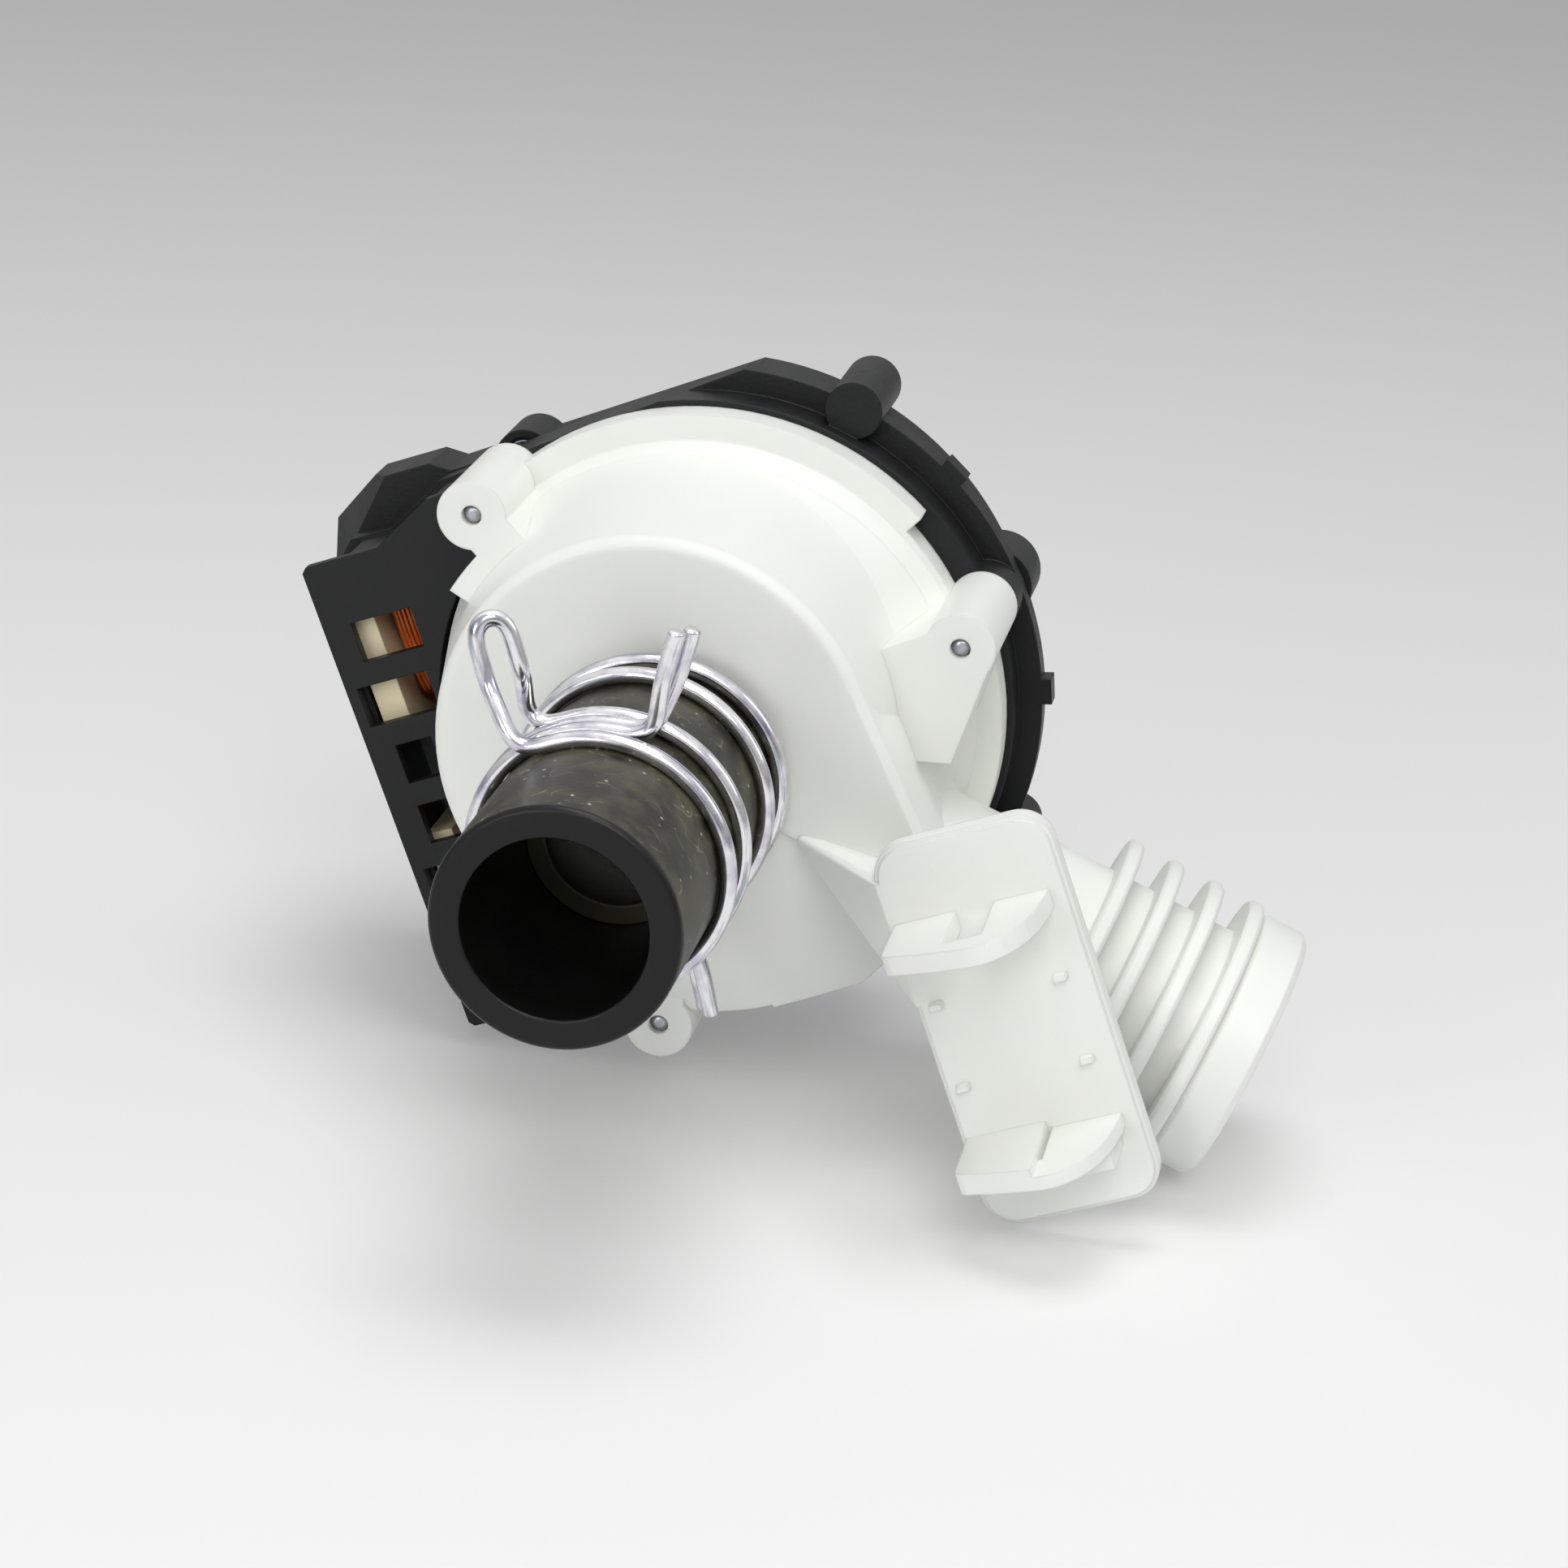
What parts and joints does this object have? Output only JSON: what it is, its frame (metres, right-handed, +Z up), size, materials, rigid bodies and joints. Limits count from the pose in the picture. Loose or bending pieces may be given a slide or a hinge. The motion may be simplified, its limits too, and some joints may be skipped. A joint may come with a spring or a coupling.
{
  "type": "washer drain pump",
  "caption": "Drain pump with a white volute casing, rubber inlet hose with wire clamps, ribbed side outlet, hooked mounting plate and a black two-coil motor.",
  "frame": {"origin": "centre of the inlet hose's mouth", "axes": "-Y points out of the inlet along the shaft, +Z is up with the pump lying on a table, +X is towards the outlet"},
  "size_m": [0.1586, 0.1422, 0.1108],
  "materials": {
    "white_polypropylene": "satin moulded",
    "hose_rubber": "dusty extruded rubber",
    "plated_spring_wire": "bright zinc plate",
    "seal_rubber": "moulded rubber",
    "screw_steel": "zinc plated",
    "black_housing_plastic": "satin glass-filled",
    "can_plastic": "satin glass-filled",
    "core_steel": "stacked sheet",
    "bobbin_plastic": "moulded",
    "winding_copper": "enamelled",
    "terminal_brass": "tin plated",
    "carrier_plastic": "moulded",
    "bearing_carbon": "sintered",
    "magnet_ferrite": "ground",
    "shaft_steel": "ground",
    "dog_plastic": "moulded",
    "impeller_plastic": "moulded"
  },
  "bodies": {
    "housing": {"volute_casing": "white_polypropylene", "inlet_hose": "hose_rubber", "front_hose_clamp": "plated_spring_wire", "rear_hose_clamp": "plated_spring_wire", "casing_seal": "seal_rubber", "front_cushion": "seal_rubber", "rear_cushion": "seal_rubber", "casing_screws": "screw_steel", "cover_screws": "screw_steel", "motor_frame": "black_housing_plastic", "rear_cover": "black_housing_plastic", "rotor_can": "can_plastic", "stator_core": "core_steel", "upper_bobbin": "bobbin_plastic", "lower_bobbin": "bobbin_plastic", "upper_coil_pack": "winding_copper", "lower_coil_pack": "winding_copper", "upper_winding": "winding_copper", "lower_winding": "winding_copper", "terminal_tabs": "terminal_brass", "bearing_carrier": "carrier_plastic", "front_bearing": "bearing_carbon", "rear_bearing": "bearing_carbon"},
    "rotor": {"rotor_magnet": "magnet_ferrite", "rotor_shaft": "shaft_steel", "thrust_washers": "carrier_plastic", "drive_dog": "dog_plastic"},
    "impeller": {"impeller": "impeller_plastic", "impeller_cap": "impeller_plastic"}
  },
  "joints": [
    {"name": "rotor_spin", "type": "hinge", "parent": "housing", "child": "rotor", "pos_m": [0, 0.1143, 0], "axis": [0, -1, 0], "continuous": true},
    {"name": "impeller_slack", "type": "hinge", "parent": "rotor", "child": "impeller", "pos_m": [0, 0.0853, 0], "axis": [0, -1, 0], "range_deg": [-93, 93]}
  ]
}
